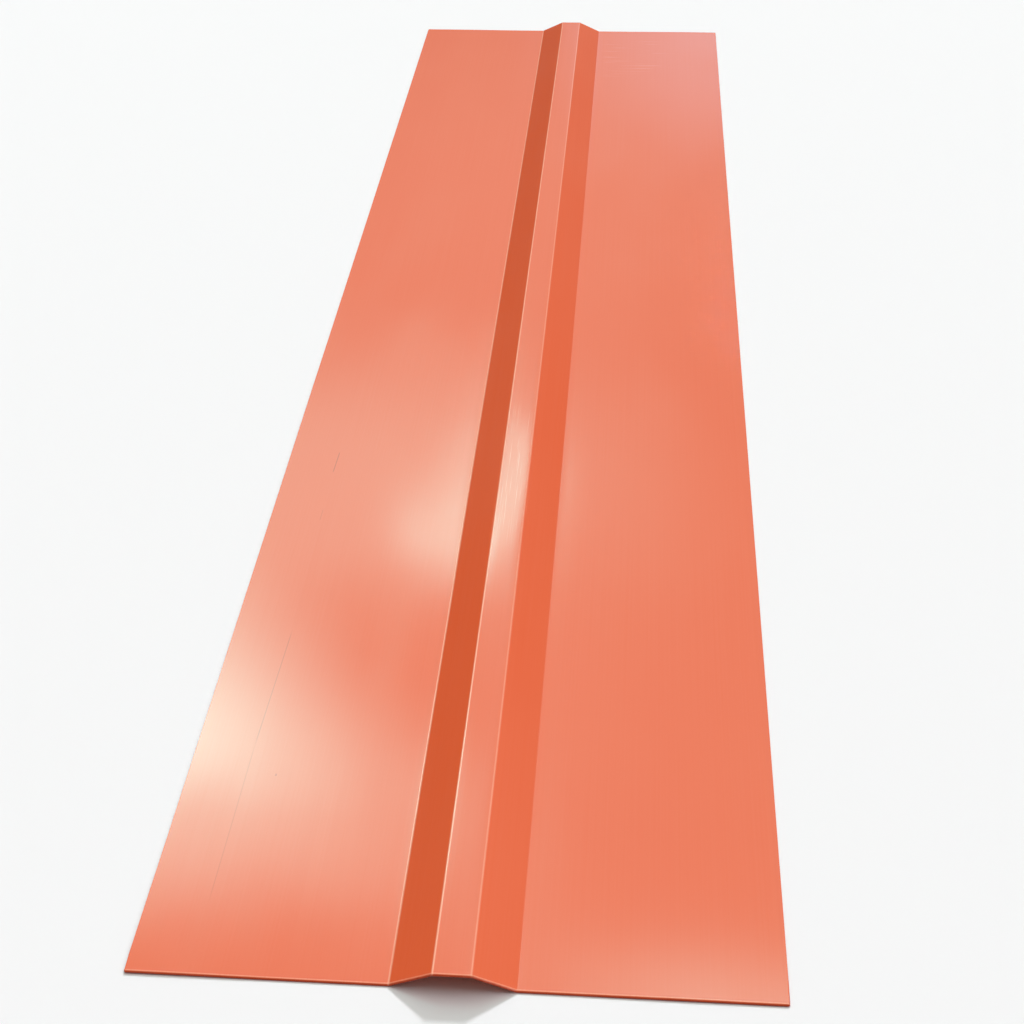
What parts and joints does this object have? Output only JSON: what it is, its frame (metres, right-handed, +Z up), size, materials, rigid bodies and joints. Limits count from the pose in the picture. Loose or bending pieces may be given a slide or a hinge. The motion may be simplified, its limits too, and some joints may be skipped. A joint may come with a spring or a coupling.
{
  "type": "valley flashing",
  "caption": "Long folded sheet-metal roof valley flashing: two flat wings with a low flat-topped water rib along the middle, coated in coral orange paint.",
  "frame": {"origin": "on the floor, under the middle of the sheet: centre of the bounding box at its lowest level", "axes": "+X across the sheet, +Y along its length and the rib, +Z up out of the wings"},
  "size_m": [0.493, 2, 0.0157],
  "materials": {
    "coral_paint": "semi-gloss coil-coated paint"
  },
  "bodies": {
    "root": {"flashing_sheet": "coral_paint"}
  },
  "joints": []
}
